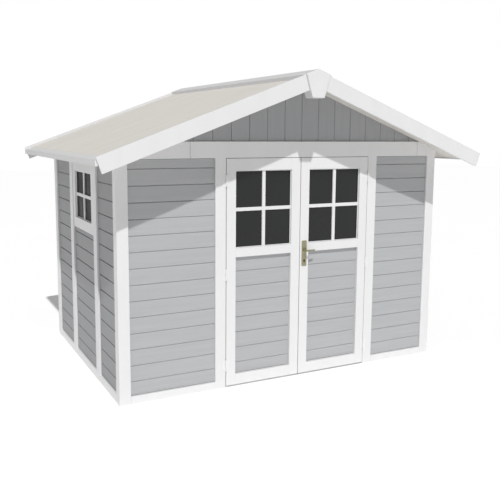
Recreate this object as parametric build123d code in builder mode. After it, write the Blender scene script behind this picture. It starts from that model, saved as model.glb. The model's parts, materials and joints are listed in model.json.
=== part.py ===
"""Plastic-clad garden house with a gabled roof, a glazed double door and a side window.

Millimetres. X runs along the front, +Y runs back, +Z is up. The origin is on the ground, at the
centre of the roof's outline. A wall is laid out as it is seen from outside: s runs from its left
corner to its right, d runs inwards from the outer faces of its posts, and z is height.
"""

from build123d import *
import math
import os

# walls
wall_width = 2920.0  # outside of posts, along X
corner_post = 88.0  # square
door_post = 88.0
side_post = 100.0
board_set_back = 15.0  # posts stand proud of the boards by this
board_thickness = 26.0
board_pitch = 121.3
board_joint = 1.6  # between stacked boards
groove = 5.0  # chamfer on a board's outer edges
fit_gap = 0.5  # boards, panes and rails to the pieces around them
sill_height = 58.0
first_board = 106.0
wall_top = 1812.0  # underside of lintels and wall plates
lintel_height = 124.0

left_bay = 684.0  # front wall, left of the door
side_front_bay = 465.0
side_window_bay = 690.0
side_rear_bay = 560.0

# door
leaf_width = 657.0
leaf_thickness = 40.0
leaf_gap = 4.0  # around the leaves
meeting_gap = 5.0
threshold_height = 8.0
stile = 80.0
top_rail = 92.0
middle_rail = 71.0
bottom_rail = 85.0
glass_height = 603.0
door_board_set_back = 22.0
door_board_thickness = 14.0
door_first_board = 90.0
door_board_pitch = 123.0
glass_thickness = 4.0
glass_set_back = 20.0
bar_width = 27.0  # glazing bars
bar_thickness = 10.0

# side window
window_head = 143.0  # head rail, down from the wall's top
window_stile = 74.0
window_sill_height = 91.0
window_glass_height = 402.0
window_set_back = 6.0
window_thickness = 42.0

# roof
eave_rise = 28.0  # eave edge above the walls' top
roof_rise = 630.0  # ridge above the eave edge
eave_overhang = 219.0
front_overhang = 322.0
rear_overhang = 322.0
verge_height = 118.0  # barge boards, square to the slope
verge_thickness = 22.0
panel_count = 5
panel_thickness = 32.0
panel_drop = 22.0  # panel tops below the barge boards' top edges
panel_gap = 2.0
fascia_height = 60.0
fascia_thickness = 18.0
fascia_lip = 40.0
fascia_lip_thickness = 3.0
ridge_cap_width = 125.0  # each side
ridge_cap_rise = 6.0
gable_pitch = 156.0
gable_offset = -4.0  # centre of the middle gable board
ridge_beam_width = 60.0
ridge_beam_depth = 120.0
purlin_width = 60.0
purlin_depth = 80.0
lintel_left_end = 567.0  # length of the lintel's end pieces
lintel_right_end = 207.0
lintel_joint = 3.0
keystone_top = 105.0  # half width
keystone_bottom = 52.0
keystone_height = 206.0
keystone_proud = 20.0
keystone_depth = 80.0
seat = 0.5  # roof panels to what carries them

# ironwork
knuckle_radius = 6.0
knuckle_length = 30.0
knuckle_gap = 0.5
pin_radius = 3.0
pin_clearance = 0.05
hinge_leaf = 28.0
hinge_plate = 2.0
hinge_inset = 168.0  # end hinges, from the leaf's ends to their middles
plate_width = 46.0
plate_height = 210.0
plate_thickness = 4.0
lever_z = 1056.0
keyhole_below = 86.0
plate_drop = 27.0  # plate centre below the lever
spindle = 8.0  # square
spindle_hole = 6.5
neck_radius = 9.0
lever_stand = 44.0  # lever's centre line from the plate's back
lever_length = 80.0
lock_width = 52.0
lock_thickness = 16.0
lock_height = 150.0
lock_clearance = 0.5
latch_length = 20.0
latch_thickness = 11.0
latch_height = 18.0
latch_travel = 8.0
latch_shows = 1.7
cylinder_radius = 8.5
cylinder_fin = 10.0
cylinder_drop = 16.0
bolt_radius = 5.0
bolt_clearance = 0.3
bolt_length = 300.0
top_bolt_travel = 16.0
bolt_rest_gap = 1.5
bolt_inset = 40.0  # from the meeting edge
guide_size = 24.0
bracket_length = 80.0
bracket_thickness = 4.0
bracket_height = 50.0
bracket_hole = 5.5
bracket_from_corner = 100.0

# worked out
post_depth = leaf_thickness + 16.0  # every post but the corners, lintels and sill rails
opening = 2 * leaf_width + 2 * leaf_gap + meeting_gap
right_bay = wall_width - 2 * corner_post - 2 * door_post - left_bay - opening
wall_depth = (
    2 * corner_post + 2 * side_post + side_front_bay + side_window_bay + side_rear_bay
)
roof_length = front_overhang + wall_depth + rear_overhang
front_y = -roof_length / 2 + front_overhang
rear_y = front_y + wall_depth
half_width = wall_width / 2
eave_height = wall_top + eave_rise
ridge_height = eave_height + roof_rise
half_span = half_width + eave_overhang
purlin_place = half_width / 2
lintel_left_joint = lintel_left_end - half_width
lintel_right_joint = half_width - lintel_right_end
pitch = math.atan2(ridge_height - eave_height, half_span)
panel_rise = panel_thickness / math.cos(pitch)
verge_rise = verge_height / math.cos(pitch)
lintel_top = wall_top + lintel_height
door_left = -half_width + corner_post + left_bay + door_post
door_right = door_left + opening
meeting_x = (door_left + door_right) / 2
leaf_bottom = threshold_height + leaf_gap
leaf_top = wall_top - leaf_gap
leaf_height = leaf_top - leaf_bottom
glass_bottom = leaf_top - top_rail - glass_height
hinge_heights = (leaf_bottom + hinge_inset, (leaf_bottom + leaf_top) / 2, leaf_top - hinge_inset)
board_back = board_set_back + board_thickness
spindle_x = meeting_x + meeting_gap / 2 + stile / 2
hinge_y = front_y - knuckle_radius - knuckle_gap
bolt_x = meeting_x - meeting_gap / 2 - bolt_inset
bolt_y = front_y + leaf_thickness + bolt_radius + 3.0
latch_z = lever_z
window_head_z = wall_top - window_head
window_sill_z = window_head_z - window_glass_height - window_sill_height

front = Plane(origin=(-half_width, front_y, 0), x_dir=(0, 1, 0), z_dir=(1, 0, 0))
left = Plane(origin=(-half_width, rear_y, 0), x_dir=(1, 0, 0), z_dir=(0, -1, 0))
right = Plane(origin=(half_width, front_y, 0), x_dir=(-1, 0, 0), z_dir=(0, 1, 0))
rear = Plane(origin=(half_width, rear_y, 0), x_dir=(0, -1, 0), z_dir=(-1, 0, 0))
front_elevation = Plane(origin=(0, 0, 0), x_dir=(1, 0, 0), z_dir=(0, -1, 0))


def roof_top(x):
    return ridge_height - math.tan(pitch) * abs(x)


def panel_top(x):
    return roof_top(x) - panel_drop


def panel_under(x):
    return panel_top(x) - panel_rise


def bar(plane, s_start, s_end, outline):
    """A prism of a (d, z) outline, from s_start to s_end along a wall."""
    with BuildSketch(plane.offset(s_start)) as section:
        with BuildLine():
            Polyline(*outline, close=True)
        make_face()
    extrude(section.sketch, amount=s_end - s_start)


def slab(plane, s_start, s_end, d_start, d_end, z_start, z_end):
    bar(
        plane,
        s_start,
        s_end,
        [(d_start, z_start), (d_end, z_start), (d_end, z_end), (d_start, z_end)],
    )


def upright(y_start, y_end, outline):
    """A prism of an (x, z) outline between two depths."""
    with BuildSketch(front_elevation.offset(-y_start)) as section:
        with BuildLine():
            Polyline(*outline, close=True)
        make_face()
    extrude(section.sketch, amount=y_start - y_end)


def mirrored(outline, side):
    return [(side * x, z) for x, z in outline]


def rod(centre, direction, radius, length, mode=Mode.ADD):
    with BuildSketch(Plane(origin=centre, z_dir=direction)) as section:
        Circle(radius)
    extrude(section.sketch, amount=length, mode=mode)


def block(x_start, x_end, y_start, y_end, z_start, z_end, mode=Mode.ADD):
    centre = ((x_start + x_end) / 2, (y_start + y_end) / 2, (z_start + z_end) / 2)
    with Locations(centre):
        Box(x_end - x_start, y_end - y_start, z_end - z_start, mode=mode)


def stacked_boards(plane, s_start, s_end, z_start, z_end, first, cover, d_front, thickness):
    """Clapboards laid one on another, each its own solid with chamfered outer edges."""
    gap = board_joint / 2
    low = z_start
    high = z_start + first
    while low < z_end:
        top = z_end if z_end - high < 3 * groove else high
        outline = [
            (d_front + groove, low + gap),
            (d_front + thickness, low + gap),
            (d_front + thickness, top - gap),
            (d_front + groove, top - gap),
            (d_front, top - gap - groove),
            (d_front, low + gap + groove),
        ]
        bar(plane, s_start + fit_gap, s_end - fit_gap, outline)
        low = top
        high = top + cover


def wall_boards(plane, s_start, s_end, top=wall_top):
    stacked_boards(
        plane,
        s_start,
        s_end,
        sill_height,
        top,
        first_board,
        board_pitch,
        board_set_back,
        board_thickness,
    )


def keep(piece, label):
    piece.part.label = label
    export_step(piece.part, f"parts/{label}.step")


os.makedirs("parts", exist_ok=True)

# --- ground frame -------------------------------------------------------------------------
with BuildPart() as sill_rails:
    slab(front, corner_post, corner_post + left_bay, 0, post_depth, 0, sill_height)
    right_start = wall_width - corner_post - right_bay
    slab(front, right_start, wall_width - corner_post, 0, post_depth, 0, sill_height)
    for wall, length in ((left, wall_depth), (right, wall_depth), (rear, wall_width)):
        slab(wall, corner_post, length - corner_post, 0, post_depth, 0, sill_height)
keep(sill_rails, "sill_rails")

with BuildPart() as door_threshold:
    door_start = door_left + half_width
    slab(front, door_start, door_start + opening, 0, post_depth, 0, threshold_height)
    chamfer(door_threshold.edges().filter_by(Axis.X).group_by(Axis.Z)[-1], 3)
    hole_top = (bolt_x, bolt_y, threshold_height)
    rod(hole_top, (0, 0, -1), bolt_radius + 1, threshold_height, Mode.SUBTRACT)
keep(door_threshold, "door_threshold")

with BuildPart() as anchor_brackets:
    for x_side in (-1, 1):
        for y_end, inward in ((front_y, 1), (rear_y, -1)):
            x_outer = x_side * (half_width - bracket_from_corner)
            x_inner = x_outer - x_side * bracket_length
            y_near = y_end + inward * post_depth
            x_low, x_high = sorted((x_outer, x_inner))
            y_low, y_high = sorted((y_near, y_near + inward * bracket_length))
            block(x_low, x_high, y_low, y_high, 0, bracket_thickness)
            y_low, y_high = sorted((y_near, y_near + inward * bracket_thickness))
            block(x_low, x_high, y_low, y_high, bracket_thickness, bracket_height)
            hole_at = ((x_outer + x_inner) / 2, y_near + inward * bracket_length * 0.6, 0)
            rod(hole_at, (0, 0, 1), bracket_hole, bracket_thickness, Mode.SUBTRACT)
keep(anchor_brackets, "anchor_brackets")

# --- posts --------------------------------------------------------------------------------
corner_names = {
    "front_left_corner_post": front,
    "front_right_corner_post": right,
    "rear_right_corner_post": rear,
    "rear_left_corner_post": left,
}
for label, wall in corner_names.items():
    with BuildPart() as corner:
        slab(wall, 0, corner_post, 0, corner_post, 0, wall_top)
        fillet(corner.edges().filter_by(Axis.Z), 4)
    keep(corner, label)

for label, s_start in (
    ("left_door_post", corner_post + left_bay),
    ("right_door_post", corner_post + left_bay + door_post + opening),
):
    with BuildPart() as post:
        slab(front, s_start, s_start + door_post, 0, post_depth, 0, wall_top)
        fillet(post.edges().filter_by(Axis.Z), 2)
    keep(post, label)


def rail_posts(wall, starts, label):
    """Uprights of a wall with a sill rail: they stand on it."""
    with BuildPart() as posts:
        for s_start in starts:
            slab(wall, s_start, s_start + side_post, 0, post_depth, sill_height, wall_top)
        fillet(posts.edges().filter_by(Axis.Z), 2)
    keep(posts, label)


left_posts = [
    corner_post + side_rear_bay,
    corner_post + side_rear_bay + side_post + side_window_bay,
]
right_posts = [
    corner_post + side_front_bay,
    corner_post + side_front_bay + side_post + side_window_bay,
]
rear_bay = (wall_width - 2 * corner_post - 3 * side_post) / 4
rear_starts = [corner_post + rear_bay + i * (rear_bay + side_post) for i in range(3)]
rail_posts(left, left_posts, "left_side_posts")
rail_posts(right, right_posts, "right_side_posts")
rail_posts(rear, rear_starts, "rear_posts")

# --- clapboards ---------------------------------------------------------------------------
bays = {
    "front_left_boards": (front, [(corner_post, corner_post + left_bay)], wall_top),
    "front_right_boards": (
        front,
        [(wall_width - corner_post - right_bay, wall_width - corner_post)],
        wall_top,
    ),
    "left_rear_bay_boards": (left, [(corner_post, left_posts[0])], wall_top),
    "left_window_bay_boards": (
        left,
        [(left_posts[0] + side_post, left_posts[1])],
        window_sill_z,
    ),
    "left_front_bay_boards": (
        left,
        [(left_posts[1] + side_post, wall_depth - corner_post)],
        wall_top,
    ),
    "right_wall_boards": (
        right,
        [
            (corner_post, right_posts[0]),
            (right_posts[0] + side_post, right_posts[1]),
            (right_posts[1] + side_post, wall_depth - corner_post),
        ],
        wall_top,
    ),
    "rear_wall_boards": (
        rear,
        [(s - rear_bay, s) for s in rear_starts + [wall_width - corner_post]],
        wall_top,
    ),
}
for label, (wall, spans, top) in bays.items():
    with BuildPart() as boards:
        for s_start, s_end in spans:
            wall_boards(wall, s_start, s_end, top)
    keep(boards, label)

# --- side window --------------------------------------------------------------------------
window_start = left_posts[0] + side_post + fit_gap
window_end = left_posts[1] - fit_gap
glass_start = window_start + window_stile
glass_end = window_end - window_stile
window_back = window_set_back + window_thickness
glass_low = window_sill_z + window_sill_height
window_glass_d = window_set_back + glass_set_back

with BuildPart() as window_frame:
    low, high = window_sill_z + fit_gap, wall_top - fit_gap
    slab(left, window_start, glass_start, window_set_back, window_back, low, high)
    slab(left, glass_end, window_end, window_set_back, window_back, low, high)
    inner_start, inner_end = glass_start + fit_gap, glass_end - fit_gap
    slab(left, inner_start, inner_end, window_set_back, window_back, low, glass_low)
    slab(left, inner_start, inner_end, window_set_back, window_back, window_head_z, high)
    chamfer(window_frame.faces().filter_by(Axis.X).sort_by(Axis.X)[:4].edges(), 2)
keep(window_frame, "window_frame")

with BuildPart() as window_pane:
    slab(
        left,
        glass_start + fit_gap,
        glass_end - fit_gap,
        window_glass_d,
        window_glass_d + glass_thickness,
        glass_low + fit_gap,
        window_head_z - fit_gap,
    )
keep(window_pane, "window_pane")


def glazing_bars(wall, s_start, s_end, z_start, z_end, d_glass):
    """A cross in front of the pane, as one piece."""
    d_start = d_glass - fit_gap - bar_thickness
    d_end = d_glass - fit_gap
    s_middle = (s_start + s_end) / 2
    z_middle = (z_start + z_end) / 2
    half = bar_width / 2
    slab(wall, s_middle - half, s_middle + half, d_start, d_end, z_start, z_end)
    slab(wall, s_start, s_end, d_start, d_end, z_middle - half, z_middle + half)


with BuildPart() as window_bars:
    glazing_bars(
        left,
        glass_start + fit_gap,
        glass_end - fit_gap,
        glass_low + fit_gap,
        window_head_z - fit_gap,
        window_glass_d,
    )
keep(window_bars, "window_glazing_bars")

# --- lintels and wall plates --------------------------------------------------------------
slope_break = (ridge_height - panel_drop - panel_rise - seat - lintel_top) / math.tan(pitch)


def lintel_outline(x_start, x_end):
    """The lintel's face between two places, its top corners cut to the roof."""
    right_top = min(lintel_top, panel_under(x_end) - seat)
    left_top = min(lintel_top, panel_under(x_start) - seat)
    bends = [(x, lintel_top) for x in (slope_break, -slope_break) if x_start < x < x_end]
    corners = [(x_start, wall_top), (x_end, wall_top), (x_end, right_top)]
    return corners + bends + [(x_start, left_top)]


with BuildPart() as front_lintel:
    joint = lintel_joint / 2
    back = front_y + post_depth
    upright(front_y, back, lintel_outline(-half_width, lintel_left_joint - joint))
    upright(front_y, back, lintel_outline(lintel_left_joint + joint, lintel_right_joint - joint))
    upright(front_y, back, lintel_outline(lintel_right_joint + joint, half_width))
    rod((bolt_x, bolt_y, wall_top), (0, 0, 1), bolt_radius + 1, top_bolt_travel + 6, Mode.SUBTRACT)
keep(front_lintel, "front_lintel")

with BuildPart() as rear_lintel:
    upright(rear_y - post_depth, rear_y, lintel_outline(-half_width, -joint))
    upright(rear_y - post_depth, rear_y, lintel_outline(joint, half_width))
keep(rear_lintel, "rear_lintel")

plate_outline = [
    (0, wall_top),
    (post_depth, wall_top),
    (post_depth, panel_under(half_width - post_depth) - seat),
    (0, panel_under(half_width) - seat),
]
with BuildPart() as wall_plates:
    for wall in (left, right):
        bar(wall, post_depth + fit_gap, wall_depth - post_depth - fit_gap, plate_outline)
keep(wall_plates, "wall_plates")

# --- gables -------------------------------------------------------------------------------
gable_half = slope_break - 12.0


def gable_boards(y_start, y_end, centre):
    """Vertical boards under the roof slopes, each cut to the slope."""
    count = int(2 * half_width / gable_pitch) + 2
    first = centre - gable_pitch / 2 - (count // 2) * gable_pitch
    for i in range(count + 1):
        low = max(first + i * gable_pitch + board_joint / 2, -gable_half)
        high = min(first + (i + 1) * gable_pitch - board_joint / 2, gable_half)
        if high - low < groove:
            continue
        tops = [(high, panel_under(high) - seat)]
        if low < 0 < high:
            tops.append((0, panel_under(0) - seat))
        tops.append((low, panel_under(low) - seat))
        base = lintel_top + fit_gap
        upright(y_start, y_end, [(low, base), (high, base)] + tops)


with BuildPart() as front_gable:
    gable_boards(front_y + board_set_back, front_y + board_back, gable_offset)
    outer = front_gable.faces().filter_by(Axis.Y).group_by(Axis.Y)[0]
    chamfer(outer.edges().filter_by(Axis.Z), 3.5)
keep(front_gable, "front_gable_boards")

with BuildPart() as rear_gable:
    gable_boards(rear_y - board_back, rear_y - board_set_back, -gable_offset)
    outer = rear_gable.faces().filter_by(Axis.Y).group_by(Axis.Y)[-1]
    chamfer(outer.edges().filter_by(Axis.Z), 3.5)
keep(rear_gable, "rear_gable_boards")

# --- roof ---------------------------------------------------------------------------------
with BuildPart() as roof_beams:
    beam_start = front_y + board_back + fit_gap
    beam_end = rear_y - board_back - fit_gap
    half = ridge_beam_width / 2
    foot = panel_under(0) - ridge_beam_depth
    ridge_outline = [
        (-half, foot),
        (half, foot),
        (half, panel_under(half) - seat),
        (0, panel_under(0) - seat),
        (-half, panel_under(half) - seat),
    ]
    upright(beam_start, beam_end, ridge_outline)
    near, far = purlin_place - purlin_width / 2, purlin_place + purlin_width / 2
    purlin_outline = [
        (near, panel_under(far) - purlin_depth),
        (far, panel_under(far) - purlin_depth),
        (far, panel_under(far) - seat),
        (near, panel_under(near) - seat),
    ]
    for side in (-1, 1):
        upright(beam_start, beam_end, mirrored(purlin_outline, side))
keep(roof_beams, "roof_beams")

roof_front = -roof_length / 2
roof_rear = roof_length / 2
panels_start = roof_front + verge_thickness
panels_end = roof_rear - verge_thickness
panel_width = (panels_end - panels_start) / panel_count
panel_end_x = half_span - fascia_thickness
panel_outline = [
    (1.0, panel_under(1.0)),
    (panel_end_x, panel_under(panel_end_x)),
    (panel_end_x, panel_top(panel_end_x)),
    (1.0, panel_top(1.0)),
]
for label, side in (("left_roof_panels", -1), ("right_roof_panels", 1)):
    with BuildPart() as roof_panels:
        for i in range(panel_count):
            low = panels_start + i * panel_width + panel_gap / 2
            upright(low, low + panel_width - panel_gap, mirrored(panel_outline, side))
    keep(roof_panels, label)

with BuildPart() as ridge_cap:
    w = ridge_cap_width
    lid = [(-w, roof_top(w) + ridge_cap_rise), (0, roof_top(0) + ridge_cap_rise)]
    lid += [(w, roof_top(w) + ridge_cap_rise)]
    on_panels = [(w, panel_top(w)), (0, panel_top(0)), (-w, panel_top(w))]
    on_verges = [(w, roof_top(w)), (0, roof_top(0)), (-w, roof_top(w))]
    upright(panels_start, panels_end, lid + on_panels)
    upright(roof_front, roof_rear, lid + on_verges)
keep(ridge_cap, "ridge_cap")

barge_outline = [
    (fit_gap / 2, roof_top(fit_gap / 2)),
    (half_span, eave_height),
    (half_span - verge_height * math.sin(pitch), eave_height - verge_height * math.cos(pitch)),
    (fit_gap / 2, roof_top(fit_gap / 2) - verge_rise),
]
for label, side in (("front_left_barge_board", -1), ("front_right_barge_board", 1)):
    with BuildPart() as barge:
        upright(roof_front, panels_start, mirrored(barge_outline, side))
        chamfer(barge.faces().sort_by(Axis.Y)[0].edges(), 2)
    keep(barge, label)

with BuildPart() as rear_barges:
    for side in (-1, 1):
        upright(panels_end, roof_rear, mirrored(barge_outline, side))
    chamfer(rear_barges.faces().filter_by(Axis.Y).group_by(Axis.Y)[-1].edges(), 2)
keep(rear_barges, "rear_barge_boards")

verge_low = roof_top(0) - verge_rise
key_low = ridge_height - keystone_height
key_slant = (keystone_top - keystone_bottom) / (keystone_height - (ridge_height - roof_top(keystone_top)))
meet_z = (verge_low - math.tan(pitch) * (keystone_bottom - key_slant * key_low)) / (
    1 + math.tan(pitch) * key_slant
)
meet_x = keystone_bottom + key_slant * (meet_z - key_low)
key_face = [
    (-keystone_top, roof_top(keystone_top) + ridge_cap_rise),
    (0, ridge_height + ridge_cap_rise),
    (keystone_top, roof_top(keystone_top) + ridge_cap_rise),
    (keystone_bottom, key_low),
    (-keystone_bottom, key_low),
]
key_tail = [
    (-meet_x, meet_z - seat),
    (0, verge_low - seat),
    (meet_x, meet_z - seat),
    (keystone_bottom, key_low),
    (-keystone_bottom, key_low),
]
with BuildPart() as front_keystone:
    upright(roof_front - keystone_proud, roof_front, key_face)
    upright(roof_front, roof_front + keystone_depth, key_tail)
    chamfer(front_keystone.faces().sort_by(Axis.Y)[0].edges(), 3)
keep(front_keystone, "front_ridge_finial")
with BuildPart() as rear_keystone:
    upright(roof_rear, roof_rear + keystone_proud, key_face)
    upright(roof_rear - keystone_depth, roof_rear, key_tail)
    chamfer(rear_keystone.faces().sort_by(Axis.Y)[-1].edges(), 3)
keep(rear_keystone, "rear_ridge_finial")

lip_start = panel_end_x - fascia_lip
fascia_low = eave_height - fascia_height
fascia_outline = [
    (half_span, fascia_low),
    (half_span, panel_top(half_span) + fascia_lip_thickness),
    (lip_start, panel_top(lip_start) + fascia_lip_thickness),
    (lip_start, panel_top(lip_start)),
    (panel_end_x, panel_top(panel_end_x)),
    (panel_end_x, fascia_low),
]
for label, side in (("left_eave_trim", -1), ("right_eave_trim", 1)):
    with BuildPart() as eave_trim:
        upright(panels_start, panels_end, mirrored(fascia_outline, side))
    keep(eave_trim, label)


# --- door leaves --------------------------------------------------------------------------
def leaf_parts(x_start, x_end):
    """Places of a leaf's frame, in s along the front wall."""
    return x_start + half_width, x_end + half_width


def leaf_frame(x_start, x_end):
    s_start, s_end = leaf_parts(x_start, x_end)
    slab(front, s_start, s_start + stile, 0, leaf_thickness, leaf_bottom, leaf_top)
    slab(front, s_end - stile, s_end, 0, leaf_thickness, leaf_bottom, leaf_top)
    rails = (
        (leaf_bottom, leaf_bottom + bottom_rail),
        (glass_bottom - middle_rail, glass_bottom),
        (leaf_top - top_rail, leaf_top),
    )
    for z_start, z_end in rails:
        inner_start, inner_end = s_start + stile + fit_gap, s_end - stile - fit_gap
        slab(front, inner_start, inner_end, 0, leaf_thickness, z_start, z_end)


def leaf_boards(x_start, x_end):
    s_start, s_end = leaf_parts(x_start, x_end)
    stacked_boards(
        front,
        s_start + stile,
        s_end - stile,
        leaf_bottom + bottom_rail,
        glass_bottom - middle_rail,
        door_first_board,
        door_board_pitch,
        door_board_set_back,
        door_board_thickness,
    )


def leaf_glass(x_start, x_end):
    s_start, s_end = leaf_parts(x_start, x_end)
    slab(
        front,
        s_start + stile + fit_gap,
        s_end - stile - fit_gap,
        glass_set_back,
        glass_set_back + glass_thickness,
        glass_bottom + fit_gap,
        leaf_top - top_rail - fit_gap,
    )


def leaf_bars(x_start, x_end):
    s_start, s_end = leaf_parts(x_start, x_end)
    glazing_bars(
        front,
        s_start + stile + fit_gap,
        s_end - stile - fit_gap,
        glass_bottom + fit_gap,
        leaf_top - top_rail - fit_gap,
        glass_set_back,
    )


left_leaf = (door_left + leaf_gap, meeting_x - meeting_gap / 2)
right_leaf = (meeting_x + meeting_gap / 2, door_right - leaf_gap)
lock_y = front_y + leaf_thickness / 2
cylinder_z = lever_z - keyhole_below
lock_x = right_leaf[0]
lock_low = (lever_z + cylinder_z) / 2 - lock_height / 2

keeper_depth = 14.0
keeper_thickness = 1.5
keeper_height = 90.0
keeper_width = 24.0

with BuildPart() as left_frame:
    leaf_frame(*left_leaf)
    edge = left_leaf[1]
    half_y, half_z = keeper_width / 2, keeper_height / 2
    block(
        edge - keeper_thickness,
        edge,
        lock_y - half_y - fit_gap / 2,
        lock_y + half_y + fit_gap / 2,
        latch_z - half_z - fit_gap / 2,
        latch_z + half_z + fit_gap / 2,
        Mode.SUBTRACT,
    )
    block(
        edge - keeper_depth,
        edge,
        lock_y - latch_thickness / 2 - 1,
        lock_y + latch_thickness / 2 + 1,
        latch_z - latch_height / 2 - 1,
        latch_z + latch_height / 2 + 1,
        Mode.SUBTRACT,
    )
keep(left_frame, "left_door_frame")

with BuildPart() as keeper:
    block(edge - keeper_thickness, edge, lock_y - half_y, lock_y + half_y, latch_z - half_z, latch_z + half_z)
    block(
        edge - keeper_thickness,
        edge,
        lock_y - latch_thickness / 2 - 1,
        lock_y + latch_thickness / 2 + 1,
        latch_z - latch_height / 2 - 1,
        latch_z + latch_height / 2 + 1,
        Mode.SUBTRACT,
    )
keep(keeper, "latch_keeper")

with BuildPart() as right_frame:
    leaf_frame(*right_leaf)
    block(
        lock_x,
        lock_x + lock_width + lock_clearance,
        lock_y - lock_thickness / 2 - lock_clearance,
        lock_y + lock_thickness / 2 + lock_clearance,
        lock_low - lock_clearance,
        lock_low + lock_height + lock_clearance,
        Mode.SUBTRACT,
    )
    rod((spindle_x, front_y, lever_z), (0, 1, 0), spindle_hole, leaf_thickness, Mode.SUBTRACT)
    rod(
        (spindle_x, front_y, cylinder_z),
        (0, 1, 0),
        cylinder_radius + lock_clearance,
        leaf_thickness,
        Mode.SUBTRACT,
    )
    block(
        spindle_x - cylinder_fin / 2 - lock_clearance,
        spindle_x + cylinder_fin / 2 + lock_clearance,
        front_y,
        front_y + leaf_thickness,
        cylinder_z - cylinder_drop - lock_clearance,
        cylinder_z,
        Mode.SUBTRACT,
    )
keep(right_frame, "right_door_frame")

for label, leaf in (("left_door", left_leaf), ("right_door", right_leaf)):
    with BuildPart() as infill:
        leaf_boards(*leaf)
    keep(infill, f"{label}_boards")
    with BuildPart() as glass:
        leaf_glass(*leaf)
    keep(glass, f"{label}_glass")
    with BuildPart() as bars:
        leaf_bars(*leaf)
    keep(bars, f"{label}_glazing_bars")

# --- hinges -------------------------------------------------------------------------------
knuckle_hole = pin_radius + pin_clearance
hinge_height = 3 * knuckle_length


def knuckle(x, z_start, length):
    rod((x, hinge_y, z_start), (0, 0, 1), knuckle_radius, length)


def hinge_strip(x, z, side, strip_height):
    """The plate of a hinge leaf on one side of its pin, over the knuckle's height."""
    near, far = sorted((x, x + side * hinge_leaf))
    y_outer = front_y - hinge_plate
    block(near, far, y_outer, front_y, z - strip_height / 2, z + strip_height / 2)


def post_leaf(x, z, side):
    part_length = knuckle_length - knuckle_gap
    for z_start in (z - hinge_height / 2, z + hinge_height / 2 - part_length):
        knuckle(x, z_start, part_length)
        hinge_strip(x, z_start + part_length / 2, side, part_length)
    near, far = sorted((x + side * (knuckle_radius + 2), x + side * hinge_leaf))
    block(near, far, front_y - hinge_plate, front_y, z - hinge_height / 2, z + hinge_height / 2)
    rod((x, hinge_y, z - hinge_height / 2), (0, 0, 1), knuckle_hole, hinge_height, Mode.SUBTRACT)


def door_leaf(x, z, side):
    knuckle(x, z - knuckle_length / 2, knuckle_length)
    hinge_strip(x, z, side, knuckle_length)
    near, far = sorted((x + side * (knuckle_radius + 2), x + side * hinge_leaf))
    block(near, far, front_y - hinge_plate, front_y, z - hinge_height / 2, z + hinge_height / 2)
    rod((x, hinge_y, z - hinge_height / 2), (0, 0, 1), knuckle_hole, hinge_height, Mode.SUBTRACT)


left_pin_x = door_left + leaf_gap / 2
right_pin_x = door_right - leaf_gap / 2
with BuildPart() as post_leaves:
    for z in hinge_heights:
        post_leaf(left_pin_x, z, -1)
        post_leaf(right_pin_x, z, 1)
keep(post_leaves, "hinge_post_leaves")
with BuildPart() as left_leaves:
    for z in hinge_heights:
        door_leaf(left_pin_x, z, 1)
keep(left_leaves, "left_door_hinge_leaves")
with BuildPart() as right_leaves:
    for z in hinge_heights:
        door_leaf(right_pin_x, z, -1)
keep(right_leaves, "right_door_hinge_leaves")
with BuildPart() as pins:
    for x in (left_pin_x, right_pin_x):
        for z in hinge_heights:
            rod((x, hinge_y, z - hinge_height / 2), (0, 0, 1), pin_radius, hinge_height)
keep(pins, "hinge_pins")


# --- lock and handle ----------------------------------------------------------------------
def cylinder_profile(y_start, y_end, grow, mode=Mode.ADD):
    rod((spindle_x, y_start, cylinder_z), (0, 1, 0), cylinder_radius + grow, y_end - y_start, mode)
    half = cylinder_fin / 2 + grow
    block(
        spindle_x - half,
        spindle_x + half,
        y_start,
        y_end,
        cylinder_z - cylinder_drop - grow,
        cylinder_z,
        mode,
    )


with BuildPart() as lock_case:
    block(
        lock_x,
        lock_x + lock_width,
        lock_y - lock_thickness / 2,
        lock_y + lock_thickness / 2,
        lock_low,
        lock_low + lock_height,
    )
    rod(
        (spindle_x, lock_y - lock_thickness / 2, lever_z),
        (0, 1, 0),
        spindle_hole,
        lock_thickness,
        Mode.SUBTRACT,
    )
    cylinder_profile(lock_y - lock_thickness / 2, lock_y + lock_thickness / 2, lock_clearance, Mode.SUBTRACT)
    block(
        lock_x,
        lock_x + latch_length + latch_travel + 2,
        lock_y - latch_thickness / 2 - fit_gap,
        lock_y + latch_thickness / 2 + fit_gap,
        latch_z - latch_height / 2 - fit_gap,
        latch_z + latch_height / 2 + fit_gap,
        Mode.SUBTRACT,
    )
keep(lock_case, "lock_case")

with BuildPart() as latch:
    nose = lock_x - latch_shows
    with BuildSketch(Plane.XY.offset(latch_z - latch_height / 2)):
        with BuildLine():
            Polyline(
                (nose, lock_y - latch_thickness / 2),
                (nose + latch_length, lock_y - latch_thickness / 2),
                (nose + latch_length, lock_y + latch_thickness / 2),
                (nose + latch_shows, lock_y + latch_thickness / 2),
                close=True,
            )
        make_face()
    extrude(amount=latch_height)
keep(latch, "latch_bolt")

plate_z = lever_z - plate_drop
with BuildPart() as handle_plates:
    for y_start in (front_y - plate_thickness, front_y + leaf_thickness):
        with BuildSketch(Plane(origin=(spindle_x, y_start, plate_z), x_dir=(1, 0, 0), z_dir=(0, 1, 0))):
            RectangleRounded(plate_width, plate_height, 6)
        extrude(amount=plate_thickness)
    faces = handle_plates.faces().filter_by(Axis.Y).sort_by(Axis.Y)
    chamfer([*faces[0].edges(), *faces[-1].edges()], 1.2)
    outside = front_y - plate_thickness
    through = leaf_thickness + 2 * plate_thickness
    rod((spindle_x, outside, lever_z), (0, 1, 0), neck_radius + fit_gap, through, Mode.SUBTRACT)
    cylinder_profile(outside, outside + through, lock_clearance, Mode.SUBTRACT)
    screw_z = (plate_z - plate_height / 2 + 12, plate_z + plate_height / 2 - 12)
keep(handle_plates, "handle_plates")

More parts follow.
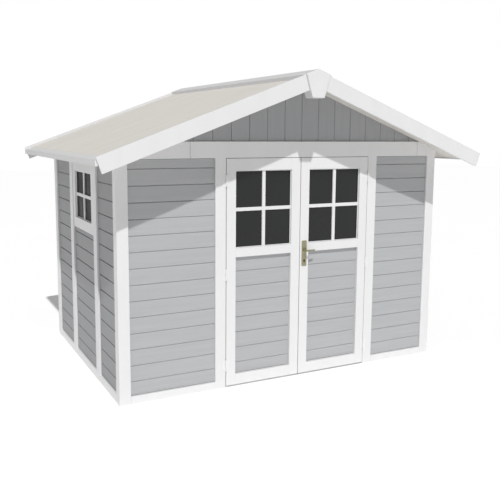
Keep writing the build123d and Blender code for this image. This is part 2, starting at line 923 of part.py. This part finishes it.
with BuildPart() as handle_screws:
    inside = front_y + leaf_thickness + plate_thickness
    for z in screw_z:
        rod((spindle_x, outside, z), (0, -1, 0), 4, 1.6)
        rod((spindle_x, inside, z), (0, 1, 0), 4, 1.6)
    chamfer(handle_screws.edges().filter_by(GeomType.CIRCLE), 0.5)
keep(handle_screws, "handle_screws")

with BuildPart() as lock_cylinder:
    cylinder_start = front_y - plate_thickness - 2
    cylinder_end = front_y + leaf_thickness + plate_thickness + 2
    cylinder_profile(cylinder_start, cylinder_end, 0)
    for y in (cylinder_start, cylinder_end - 6):
        block(spindle_x - 1, spindle_x + 1, y, y + 6, cylinder_z - 4, cylinder_z + 4, Mode.SUBTRACT)
keep(lock_cylinder, "lock_cylinder")

with BuildPart() as handle:
    half = spindle / 2
    block(
        spindle_x - half,
        spindle_x + half,
        front_y - plate_thickness,
        front_y + leaf_thickness + plate_thickness,
        lever_z - half,
        lever_z + half,
    )
    for face_y, outward in ((front_y, -1), (front_y + leaf_thickness, 1)):
        rod((spindle_x, face_y + outward * 0.5, lever_z), (0, outward, 0), neck_radius, lever_stand)
        lever_y = face_y + outward * lever_stand
        with BuildSketch(Plane(origin=(spindle_x - neck_radius, lever_y, lever_z), z_dir=(1, 0, 0))):
            RectangleRounded(13, 17, 5)
        with BuildSketch(
            Plane(origin=(spindle_x + lever_length / 2, lever_y + outward * 3, lever_z + 2), z_dir=(1, 0, 0))
        ):
            RectangleRounded(10, 13, 4)
        with BuildSketch(
            Plane(origin=(spindle_x + lever_length, lever_y - outward * 4, lever_z + 1), z_dir=(1, 0, 0))
        ):
            RectangleRounded(9, 11, 4)
        loft()
keep(handle, "door_handle")

# --- bolts of the left leaf ---------------------------------------------------------------
leaf_back = front_y + leaf_thickness
top_rest = leaf_top - bolt_rest_gap
bottom_rest = leaf_bottom + bolt_rest_gap
bore = bolt_radius + bolt_clearance
guide_back = bolt_y + bolt_radius + 4
with BuildPart() as bolt_guides:
    for z in (
        top_rest - 30,
        top_rest - bolt_length + 40,
        bottom_rest + 30,
        bottom_rest + bolt_length - 40,
    ):
        block(
            bolt_x - guide_size / 2,
            bolt_x + guide_size / 2,
            leaf_back,
            guide_back,
            z - guide_size / 2,
            z + guide_size / 2,
        )
    rod((bolt_x, bolt_y, leaf_bottom), (0, 0, 1), bore, leaf_height, Mode.SUBTRACT)
keep(bolt_guides, "bolt_guides")

for label, z_start, knob_z in (
    ("top_door_bolt", top_rest - bolt_length, top_rest - bolt_length / 2),
    ("bottom_door_bolt", bottom_rest, bottom_rest + bolt_length / 2),
):
    with BuildPart() as bolt:
        rod((bolt_x, bolt_y, z_start), (0, 0, 1), bolt_radius, bolt_length)
        rod((bolt_x, bolt_y, knob_z), (0, 1, 0), 4, 24)
        chamfer(bolt.edges().filter_by(GeomType.CIRCLE).group_by(Axis.Z)[0], 0.8)
        chamfer(bolt.edges().filter_by(GeomType.CIRCLE).group_by(Axis.Z)[-1], 0.8)
    keep(bolt, label)
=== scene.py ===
import bpy
import json
import math
from mathutils import Matrix, Vector


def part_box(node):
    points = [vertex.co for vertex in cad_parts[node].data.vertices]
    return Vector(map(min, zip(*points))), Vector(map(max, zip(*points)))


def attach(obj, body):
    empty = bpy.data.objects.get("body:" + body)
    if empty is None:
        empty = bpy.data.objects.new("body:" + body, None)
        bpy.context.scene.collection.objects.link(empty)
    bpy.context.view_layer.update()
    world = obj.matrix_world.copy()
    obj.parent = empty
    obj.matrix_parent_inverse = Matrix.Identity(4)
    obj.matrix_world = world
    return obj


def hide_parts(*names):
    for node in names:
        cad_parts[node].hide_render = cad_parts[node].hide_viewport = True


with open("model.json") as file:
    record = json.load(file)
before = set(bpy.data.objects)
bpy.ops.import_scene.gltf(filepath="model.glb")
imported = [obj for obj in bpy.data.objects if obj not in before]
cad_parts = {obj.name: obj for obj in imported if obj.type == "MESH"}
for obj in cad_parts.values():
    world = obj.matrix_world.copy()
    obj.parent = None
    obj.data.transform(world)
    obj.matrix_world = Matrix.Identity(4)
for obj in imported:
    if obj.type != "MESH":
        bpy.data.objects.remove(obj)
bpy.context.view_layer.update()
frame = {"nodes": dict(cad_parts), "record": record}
nodes = frame["nodes"]
print("frame loaded:", len(nodes), "nodes")

# colours are linear; grain is the streak's scale along x, y and z, per metre
finishes = {
    "whitePvc": {"colour": (0.755, 0.755, 0.758), "dark": 0.955, "rough": 0.38, "grain": (9, 9, 2.5),
                 "fine": 260, "bump": 0.05, "coat": 0.1, "metal": 0.0},
    "whiteSteel": {"colour": (0.78, 0.78, 0.785), "dark": 0.95, "rough": 0.3, "grain": (40, 40, 40),
                   "fine": 900, "bump": 0.08, "coat": 0.2, "metal": 0.0},
    "boardPvc": {"colour": (0.422, 0.429, 0.437), "dark": 0.90, "rough": 0.45, "grain": (1.6, 1.6, 38),
                 "fine": 300, "bump": 0.09, "coat": 0.05, "metal": 0.0},
    # the same grey boards as boardPvc made darker, painted shade for the side and rear walls
    "paintedShadeWallPvc": {"colour": (0.285, 0.290, 0.296), "dark": 0.90, "rough": 0.45, "grain": (1.6, 1.6, 38),
                "fine": 300, "bump": 0.09, "coat": 0.0, "metal": 0.0},
    "gablePvc": {"colour": (0.345, 0.352, 0.36), "dark": 0.90, "rough": 0.46, "grain": (34, 34, 1.5),
                 "fine": 300, "bump": 0.09, "coat": 0.04, "metal": 0.0},
    "roofSheet": {"colour": (0.685, 0.660, 0.617), "dark": 0.86, "rough": 0.75, "grain": (1.4, 26, 1.4),
                  "fine": 420, "bump": 0.25, "coat": 0.0, "metal": 0.0},
    # near-black strips for the gaps round the door leaves, painted shade
    "paintedGapShade": {"colour": (0.018, 0.018, 0.019), "dark": 0.75, "rough": 0.75, "grain": (30, 30, 30),
                   "fine": 800, "bump": 0.1, "coat": 0.0, "metal": 0.0},
    "galvanised": {"colour": (0.55, 0.56, 0.57), "dark": 0.8, "rough": 0.38, "grain": (60, 60, 60),
                   "fine": 500, "bump": 0.05, "coat": 0.0, "metal": 0.95},
    "darkBrass": {"colour": (0.07, 0.06, 0.035), "dark": 0.8, "rough": 0.45, "grain": (60, 60, 60),
                  "fine": 700, "bump": 0.05, "coat": 0.0, "metal": 0.7},
    "agedBrass": {"colour": (0.34, 0.32, 0.20), "dark": 0.8, "rough": 0.34, "grain": (45, 45, 45),
                  "fine": 700, "bump": 0.04, "coat": 0.1, "metal": 0.7},
    "millAluminium": {"colour": (0.62, 0.63, 0.64), "dark": 0.85, "rough": 0.4, "grain": (5, 120, 120),
                      "fine": 500, "bump": 0.06, "coat": 0.0, "metal": 0.95},
}
streaks = {"detail": 6.0, "roughness": 0.6, "fineDetail": 3.0, "glossier": 0.06, "duller": 0.08,
           "bumpDepth": 0.0008}


def addNode(tree, kind, x, y, sockets=None):
    node = tree.nodes.new(kind)
    node.location = (x, y)
    for name, value in (sockets or {}).items():
        node.inputs[name].default_value = value
    return node


def newMaterial(name):
    material = bpy.data.materials.new(name)
    material.use_nodes = True
    tree = material.node_tree
    shader = tree.nodes["Principled BSDF"]
    place = addNode(tree, "ShaderNodeTexCoord", -1300, 0)
    return material, tree, shader, place


def colourMix(tree, x, y, factor, first, second):
    mix = tree.nodes.new("ShaderNodeMix")
    mix.data_type = "RGBA"
    mix.location = (x, y)
    mix.inputs["A"].default_value = (*first, 1)
    mix.inputs["B"].default_value = (*second, 1)
    tree.links.new(factor, mix.inputs["Factor"])
    return mix


def surfaceFinish(name):
    look = finishes[name]
    material, tree, shader, place = newMaterial(name)
    link = tree.links.new
    mapping = addNode(tree, "ShaderNodeMapping", -1100, 0, {"Scale": look["grain"]})
    link(place.outputs["Object"], mapping.inputs["Vector"])
    streak = addNode(tree, "ShaderNodeTexNoise", -900, 120,
                     {"Scale": 1.0, "Detail": streaks["detail"], "Roughness": streaks["roughness"]})
    link(mapping.outputs["Vector"], streak.inputs["Vector"])
    fine = addNode(tree, "ShaderNodeTexNoise", -900, -160,
                   {"Scale": look["fine"], "Detail": streaks["fineDetail"]})
    link(place.outputs["Object"], fine.inputs["Vector"])
    darker = tuple(value * look["dark"] for value in look["colour"])
    brighter = tuple(min(1, value * (2 - look["dark"])) for value in look["colour"])
    tint = colourMix(tree, -500, 200, streak.outputs["Fac"], darker, brighter)
    link(tint.outputs["Result"], shader.inputs["Base Color"])
    gloss = addNode(tree, "ShaderNodeMapRange", -500, 0,
                    {"To Min": look["rough"] - streaks["glossier"],
                     "To Max": look["rough"] + streaks["duller"]})
    link(streak.outputs["Fac"], gloss.inputs["Value"])
    link(gloss.outputs["Result"], shader.inputs["Roughness"])
    bump = addNode(tree, "ShaderNodeBump", -300, -200,
                   {"Strength": look["bump"], "Distance": streaks["bumpDepth"]})
    link(fine.outputs["Fac"], bump.inputs["Height"])
    link(bump.outputs["Normal"], shader.inputs["Normal"])
    shader.inputs["Metallic"].default_value = look["metal"]
    shader.inputs["Coat Weight"].default_value = look["coat"]
    return material


timber = {"grain": (28, 2, 28), "detail": 8.0, "twist": 1.2, "late": (0.30, 0.18, 0.09),
          "early": (0.62, 0.44, 0.26), "bump": 0.3, "bumpDepth": 0.001, "rough": 0.65}


def timberFinish():
    material, tree, shader, place = newMaterial("roofTimber")
    link = tree.links.new
    mapping = addNode(tree, "ShaderNodeMapping", -1100, 0, {"Scale": timber["grain"]})
    link(place.outputs["Object"], mapping.inputs["Vector"])
    rings = addNode(tree, "ShaderNodeTexNoise", -900, 0,
                    {"Scale": 1.0, "Detail": timber["detail"], "Distortion": timber["twist"]})
    link(mapping.outputs["Vector"], rings.inputs["Vector"])
    tint = colourMix(tree, -500, 100, rings.outputs["Fac"], timber["late"], timber["early"])
    link(tint.outputs["Result"], shader.inputs["Base Color"])
    bump = addNode(tree, "ShaderNodeBump", -300, -200,
                   {"Strength": timber["bump"], "Distance": timber["bumpDepth"]})
    link(rings.outputs["Fac"], bump.inputs["Height"])
    link(bump.outputs["Normal"], shader.inputs["Normal"])
    shader.inputs["Roughness"].default_value = timber["rough"]
    return material


panes = {"tintedPane": {"smear": 0.12, "level": 0.36}, "sidePane": {"smear": 0.5, "level": 0.03}}
film = {"scale": 3.0, "detail": 4.0, "dark": (0.006, 0.0075, 0.007), "pale": (0.013, 0.015, 0.014),
        "clean": 0.03, "ior": 1.5}


def paneFinish(name):
    material, tree, shader, place = newMaterial(name)
    link = tree.links.new
    cloud = addNode(tree, "ShaderNodeTexNoise", -900, 0, {"Scale": film["scale"], "Detail": film["detail"]})
    link(place.outputs["Object"], cloud.inputs["Vector"])
    tint = colourMix(tree, -500, 100, cloud.outputs["Fac"], film["dark"], film["pale"])
    link(tint.outputs["Result"], shader.inputs["Base Color"])
    smear = addNode(tree, "ShaderNodeMapRange", -500, -100,
                    {"To Min": film["clean"], "To Max": panes[name]["smear"]})
    link(cloud.outputs["Fac"], smear.inputs["Value"])
    link(smear.outputs["Result"], shader.inputs["Roughness"])
    shader.inputs["IOR"].default_value = film["ior"]
    shader.inputs["Specular IOR Level"].default_value = panes[name]["level"]
    return material


materials = {name: surfaceFinish(name) for name in finishes}
materials["roofTimber"] = timberFinish()
for name in panes:
    materials[name] = paneFinish(name)

slotFinish = {
    "white_pvc": "whitePvc",
    "grey_boards": "boardPvc",
    "gable_boards": "gablePvc",
    "roof_panels": "roofSheet",
    "tinted_glass": "tintedPane",
    "timber": "roofTimber",
    "white_steel": "whiteSteel",
    "galvanised_steel": "galvanised",
    "door_furniture": "agedBrass",
    "threshold_metal": "millAluminium",
}
# nodes that don't take their slot's usual finish; the side and rear wall boards are the same grey boards
# made darker, painted shade
ownFinish = {
    "left_front_bay_boards": "paintedShadeWallPvc",
    "left_window_bay_boards": "paintedShadeWallPvc",
    "left_rear_bay_boards": "paintedShadeWallPvc",
    "right_wall_boards": "paintedShadeWallPvc",
    "rear_wall_boards": "paintedShadeWallPvc",
    "lock_cylinder": "darkBrass",
    "window_pane": "sidePane",
}
for part in frame["record"]["subparts"]:
    finish = ownFinish.get(part["node"], slotFinish[part["material_slot"]])
    for slotHolder in nodes[part["node"]].material_slots:
        slotHolder.material = materials[finish]


facing = 0.9  # a face counts as facing a way when its normal is at least this square to it


def useOnly(piece):
    bpy.ops.object.select_all(action="DESELECT")
    piece.select_set(True)
    bpy.context.view_layer.objects.active = piece


def startEdit(piece):
    useOnly(piece)
    bpy.ops.object.mode_set(mode="EDIT")
    bpy.ops.mesh.select_all(action="SELECT")


def endEdit():
    bpy.ops.object.mode_set(mode="OBJECT")


def pickFaces(piece, wanted):
    # a new primitive is selected all over, so that is cleared first
    startEdit(piece)
    bpy.ops.mesh.select_all(action="DESELECT")
    endEdit()
    for face in piece.data.polygons:
        face.select = wanted(face.normal)
    bpy.ops.object.mode_set(mode="EDIT")
    bpy.ops.mesh.select_mode(type="FACE")


def settle(piece, name, material, body):
    # place goes into the mesh, as on the CAD nodes
    useOnly(piece)
    bpy.ops.object.transform_apply(location=True, rotation=True, scale=True)
    piece.name = name
    piece.data.name = name
    piece.data.materials.clear()
    piece.data.materials.append(materials[material])
    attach(piece, body)
    return piece


def applyModifier(piece, kind, **values):
    modifier = piece.modifiers.new(kind.title(), kind)
    for name, value in values.items():
        setattr(modifier, name, value)
    bpy.context.view_layer.objects.active = piece
    bpy.ops.object.modifier_apply(modifier=modifier.name)


def bevelEdges(piece, width, segments, angle):
    applyModifier(piece, "BEVEL", width=width, segments=segments, limit_method="ANGLE",
                  angle_limit=math.radians(angle))


def joinAll(objects):
    bpy.ops.object.select_all(action="DESELECT")
    for item in objects:
        item.select_set(True)
    bpy.context.view_layer.objects.active = objects[0]
    bpy.ops.object.join()
    return objects[0]


def flatRing(place, turn, width, height, rim, push):
    # a plane with its middle taken out, pushed to its depth
    bpy.ops.object.select_all(action="DESELECT")
    bpy.ops.mesh.primitive_plane_add(size=1, location=place, rotation=turn)
    ring = bpy.context.object
    ring.scale = (width, height, 1)
    bpy.ops.object.transform_apply(location=False, rotation=False, scale=True)
    startEdit(ring)
    bpy.ops.mesh.inset(thickness=rim)
    bpy.ops.mesh.delete(type="FACE")
    bpy.ops.mesh.select_all(action="SELECT")
    bpy.ops.mesh.extrude_region_move(TRANSFORM_OT_translate={"value": push})
    bpy.ops.mesh.select_all(action="SELECT")
    bpy.ops.mesh.normals_make_consistent(inside=False)
    endEdit()
    return ring


# glazing beads, just proud of each pane
beads = {"width": 0.006, "depth": 0.009, "edge": 0.0025, "segments": 3, "gap": 0.0002,
         "bevelAngle": 60, "smoothAngle": 35}


def paneBeads(paneName, body, name, outward):
    low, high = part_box(paneName)
    size = [b - a for a, b in zip(low, high)]
    across = 0 if abs(outward[0]) < 0.5 else 1
    turn = (math.pi / 2, 0, 0) if across == 0 else (math.pi / 2, 0, -math.pi / 2)
    place = [(a + b) / 2 for a, b in zip(low, high)]
    place[1 - across] = low[1 - across] - beads["gap"]
    piece = flatRing(place, turn, size[across], size[2], beads["width"], Vector(outward) * beads["depth"])
    bevelEdges(piece, beads["edge"], beads["segments"], beads["bevelAngle"])
    bpy.ops.object.shade_smooth_by_angle(angle=math.radians(beads["smoothAngle"]))
    return settle(piece, name, "whitePvc", body)


paneBeads("left_door_glass", "left_door", "leftDoorBeads", (0, -1, 0))
paneBeads("right_door_glass", "right_door", "rightDoorBeads", (0, -1, 0))
paneBeads("window_pane", "shell", "windowBeads", (-1, 0, 0))
print("glazing beads made")

# near-black strips set in the narrow gaps round the leaves, painted shade that darkens the gaps
gapShadeStrips = {"width": 0.0032, "meetingWidth": 0.0026, "setBack": 0.003, "depth": 0.009, "edge": 0.0005,
         "segments": 2, "margin": 0.0004, "bevelAngle": 60}
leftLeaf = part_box("left_door_frame")


def openingGapShade():
    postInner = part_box("left_door_post")[1][0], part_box("right_door_post")[0][0]
    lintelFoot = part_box("front_lintel")[0][2]
    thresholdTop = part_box("door_threshold")[1][2]
    margin = gapShadeStrips["margin"]
    width = postInner[1] - postInner[0] - margin * 2
    height = lintelFoot - thresholdTop - margin * 2
    middle = ((postInner[0] + postInner[1]) / 2, leftLeaf[0][1] + gapShadeStrips["setBack"] + gapShadeStrips["depth"],
              thresholdTop + margin + height / 2)
    piece = flatRing(middle, (math.pi / 2, 0, 0), width, height, gapShadeStrips["width"], (0, -gapShadeStrips["depth"], 0))
    bevelEdges(piece, gapShadeStrips["edge"], gapShadeStrips["segments"], gapShadeStrips["bevelAngle"])
    return settle(piece, "openingGapShade", "paintedGapShade", "shell")


def meetingGapShade():
    # the near-black upright in the gap between the leaves, painted shade, fixed to the left one
    low, high = leftLeaf
    margin = gapShadeStrips["margin"]
    middle = (high[0] + margin + gapShadeStrips["meetingWidth"] / 2, low[1] + gapShadeStrips["setBack"] + gapShadeStrips["depth"] / 2,
              (low[2] + high[2]) / 2)
    bpy.ops.object.select_all(action="DESELECT")
    bpy.ops.mesh.primitive_cube_add(
        size=1, location=middle,
        scale=(gapShadeStrips["meetingWidth"], gapShadeStrips["depth"], high[2] - low[2] - margin * 2))
    strip = bpy.context.object
    bpy.ops.object.transform_apply(location=True, rotation=False, scale=True)
    startEdit(strip)
    bpy.ops.mesh.bevel(offset=gapShadeStrips["edge"], segments=gapShadeStrips["segments"])
    endEdit()
    return settle(strip, "meetingGapShade", "paintedGapShade", "left_door")


openingGapShade()
meetingGapShade()
print("door seals made")

# lever handles, outside and inside; each step is (along, outwards, shrink)
lever = {"pivotIn": 0.009, "stand": 0.044, "lift": 0.0002, "bevel": 0.003, "segments": 2, "bevelAngle": 50,
         "smoothing": 2,
         "neck": {"radius": 0.0088, "sides": 32, "short": 0.002, "shift": 0.003, "collar": 0.002},
         "root": {"length": 0.022, "depth": 0.0115, "height": 0.0155, "shift": 0.002},
         "steps": [(0.017, 0.0018, 0.94), (0.018, 0.0012, 0.95), (0.016, -0.0012, 0.96),
                   (0.012, -0.004, 0.92), (0.005, -0.003, 0.8)],
         "spindle": {"side": 0.008, "extra": 0.01, "bevel": 0.0008}}
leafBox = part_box("right_door_frame")
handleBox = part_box("door_handle")
pivotX = handleBox[0][0] + lever["pivotIn"]
pivotZ = (handleBox[0][2] + handleBox[1][2]) / 2


def leverNeck(faceY, outward):
    neck = lever["neck"]
    middleY = faceY + outward * (lever["stand"] / 2 + neck["shift"])
    bpy.ops.object.select_all(action="DESELECT")
    bpy.ops.mesh.primitive_cylinder_add(
        vertices=neck["sides"], radius=neck["radius"], depth=lever["stand"] - neck["short"],
        location=(pivotX, middleY, pivotZ), rotation=(math.pi / 2, 0, 0))
    piece = bpy.context.object
    pickFaces(piece, lambda normal: normal.z * outward < -facing)
    bpy.ops.mesh.inset(thickness=neck["collar"])
    bpy.ops.mesh.extrude_region_move(TRANSFORM_OT_translate={"value": (0, outward * neck["collar"], 0)})
    endEdit()
    return piece


def leverArm(faceY, outward):
    # a block drawn out sideways, narrowing and curling back to the door
    root = lever["root"]
    bpy.ops.object.select_all(action="DESELECT")
    bpy.ops.mesh.primitive_cube_add(
        size=1, location=(pivotX + root["shift"], faceY + outward * lever["stand"], pivotZ),
        scale=(root["length"], root["depth"], root["height"]))
    piece = bpy.context.object
    bpy.ops.object.transform_apply(location=True, rotation=False, scale=True)
    pickFaces(piece, lambda normal: normal.x > facing)
    for along, out, shrink in lever["steps"]:
        bpy.ops.mesh.extrude_region_move(
            TRANSFORM_OT_translate={"value": (along, outward * out, lever["lift"])})
        bpy.ops.transform.resize(value=(1, shrink, shrink))
    bpy.ops.mesh.select_all(action="SELECT")
    bpy.ops.mesh.normals_make_consistent(inside=False)
    endEdit()
    bevelEdges(piece, lever["bevel"], lever["segments"], lever["bevelAngle"])
    applyModifier(piece, "SUBSURF", levels=lever["smoothing"], render_levels=lever["smoothing"])
    bpy.ops.object.shade_smooth()
    return piece


def leverSpindle():
    spindle = lever["spindle"]
    bpy.ops.object.select_all(action="DESELECT")
    bpy.ops.mesh.primitive_cube_add(
        size=1, location=(pivotX, (leafBox[0][1] + leafBox[1][1]) / 2, pivotZ),
        scale=(spindle["side"], leafBox[1][1] - leafBox[0][1] + spindle["extra"], spindle["side"]))
    piece = bpy.context.object
    startEdit(piece)
    bpy.ops.mesh.bevel(offset=spindle["bevel"], segments=1)
    endEdit()
    return piece


levers = []
for faceY, outward in ((leafBox[0][1], -1), (leafBox[1][1], 1)):
    levers.append(leverNeck(faceY, outward))
    levers.append(leverArm(faceY, outward))
levers.append(leverSpindle())
for item in levers:
    useOnly(item)
    bpy.ops.object.transform_apply(location=True, rotation=True, scale=True)
leverPair = joinAll(levers)
settle(leverPair, "leverPair", "agedBrass", "handle")
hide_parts("door_handle")
print("lever handles made")

# hinge screws; rim and recess are shares of the head's radius, sink a share of its rise
screws = {"radius": 0.0032, "rise": 0.0009, "sides": 16, "rim": 0.35, "recess": 0.2, "sink": 0.9,
          "across": 0.018, "spread": 0.028, "hingeHeight": 0.09, "pinRadius": 0.003, "standOff": 0.002}


def screwHead():
    bpy.ops.object.select_all(action="DESELECT")
    bpy.ops.mesh.primitive_cylinder_add(vertices=screws["sides"], radius=screws["radius"],
                                        depth=screws["rise"] * 2, rotation=(math.pi / 2, 0, 0))
    head = bpy.context.object
    bpy.ops.object.transform_apply(location=False, rotation=True, scale=False)
    pickFaces(head, lambda normal: normal.y < -facing)
    bpy.ops.mesh.inset(thickness=screws["radius"] * screws["rim"])
    bpy.ops.mesh.inset(thickness=screws["radius"] * screws["recess"])
    bpy.ops.mesh.extrude_region_move(
        TRANSFORM_OT_translate={"value": (0, screws["rise"] * screws["sink"], 0)})
    endEdit()
    return head


def hingeScrews(nodeName, body, name, sides):
    # two heads on each wing of a hinge leaf, three hinges high
    low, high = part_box(nodeName)
    first = screwHead()
    copies = []
    half = screws["hingeHeight"] / 2
    for x in sides:
        for middle in (low[2] + half, (low[2] + high[2]) / 2, high[2] - half):
            for lift in (-screws["spread"], screws["spread"]):
                place = Vector((x, leafBox[0][1] - screws["standOff"], middle + lift))
                copy = first.copy()
                copy.data = first.data.copy()
                copy.data.transform(Matrix.Translation(place))
                bpy.context.collection.objects.link(copy)
                copies.append(copy)
    bpy.data.objects.remove(first)
    return settle(joinAll(copies), name, "whiteSteel", body)


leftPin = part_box("hinge_pins")[0][0] + screws["pinRadius"]
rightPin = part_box("hinge_pins")[1][0] - screws["pinRadius"]
hingeScrews("hinge_post_leaves", "shell", "postHingeScrews",
            (leftPin - screws["across"], rightPin + screws["across"]))
hingeScrews("left_door_hinge_leaves", "left_door", "leftHingeScrews", (leftPin + screws["across"],))
hingeScrews("right_door_hinge_leaves", "right_door", "rightHingeScrews", (rightPin - screws["across"],))
print("hinge screws made")

# the emission keeps the floor as pale as the backdrop
floorLook = {"size": 60, "lift": 0.1, "scale": 0.8, "detail": 3.0, "dark": (0.94, 0.94, 0.94),
             "pale": (0.96, 0.96, 0.96), "rough": 0.9}


def paleFloor():
    bpy.ops.object.select_all(action="DESELECT")
    bpy.ops.mesh.primitive_plane_add(size=floorLook["size"], location=(0, 0, 0))
    floor = bpy.context.object
    floor.name = "floor"
    material, tree, shader, place = newMaterial("paleFloor")
    cloud = addNode(tree, "ShaderNodeTexNoise", -900, 0,
                    {"Scale": floorLook["scale"], "Detail": floorLook["detail"]})
    tree.links.new(place.outputs["Object"], cloud.inputs["Vector"])
    tint = colourMix(tree, -500, 100, cloud.outputs["Fac"], floorLook["dark"], floorLook["pale"])
    tree.links.new(tint.outputs["Result"], shader.inputs["Base Color"])
    shader.inputs["Roughness"].default_value = floorLook["rough"]
    shader.inputs["Emission Color"].default_value = (1, 1, 1, 1)
    shader.inputs["Emission Strength"].default_value = floorLook["lift"]
    floor.data.materials.append(material)


# travel is the way the light goes; the angle is in degrees
light = {"travel": (0.10, 0.322, -0.4645), "sun": 2.6, "sunAngle": 1.0, "sky": 0.30, "backdrop": 1.0}


def studioLight():
    bpy.ops.object.light_add(type="SUN")
    sun = bpy.context.object
    sun.rotation_euler = Vector(light["travel"]).to_track_quat("-Z", "Y").to_euler()
    sun.data.energy = light["sun"]
    sun.data.angle = math.radians(light["sunAngle"])
    world = bpy.data.worlds.new("studioSky")
    bpy.context.scene.world = world
    world.use_nodes = True
    tree = world.node_tree
    tree.nodes.clear()
    white = (1, 1, 1, 1)
    skyLight = addNode(tree, "ShaderNodeBackground", 0, 100, {"Color": white, "Strength": light["sky"]})
    backdrop = addNode(tree, "ShaderNodeBackground", 0, -100,
                       {"Color": white, "Strength": light["backdrop"]})
    rayKind = addNode(tree, "ShaderNodeLightPath", -300, 200)
    mix = addNode(tree, "ShaderNodeMixShader", 250, 0)
    output = addNode(tree, "ShaderNodeOutputWorld", 450, 0)
    tree.links.new(rayKind.outputs["Is Camera Ray"], mix.inputs[0])
    tree.links.new(skyLight.outputs[0], mix.inputs[1])
    tree.links.new(backdrop.outputs[0], mix.inputs[2])
    tree.links.new(mix.outputs[0], output.inputs["Surface"])


# heading, tilt and roll are in degrees, lens and sensor in millimetres
cameraSetup = {"place": (-2.824, leafBox[0][1] - 4.722, 2.008), "heading": 27.24, "tilt": -7.84,
               "roll": 0.43, "lens": 49.41, "sensor": 36, "shift": (0.0, -0.0468)}


def viewCamera():
    cameraData = bpy.data.cameras.new("viewCamera")
    camera = bpy.data.objects.new("viewCamera", cameraData)
    bpy.context.collection.objects.link(camera)
    cameraData.lens = cameraSetup["lens"]
    cameraData.sensor_width = cameraSetup["sensor"]
    cameraData.shift_x, cameraData.shift_y = cameraSetup["shift"]
    camera.matrix_world = (
        Matrix.Translation(cameraSetup["place"])
        @ Matrix.Rotation(-math.radians(cameraSetup["heading"]), 4, "Z")
        @ Matrix.Rotation(math.radians(90 + cameraSetup["tilt"]), 4, "X")
        @ Matrix.Rotation(math.radians(cameraSetup["roll"]), 4, "Z")
    )
    bpy.context.scene.camera = camera


paleFloor()
studioLight()
viewCamera()
bpy.context.scene.view_settings.view_transform = "Standard"
print("floor, light and camera set")
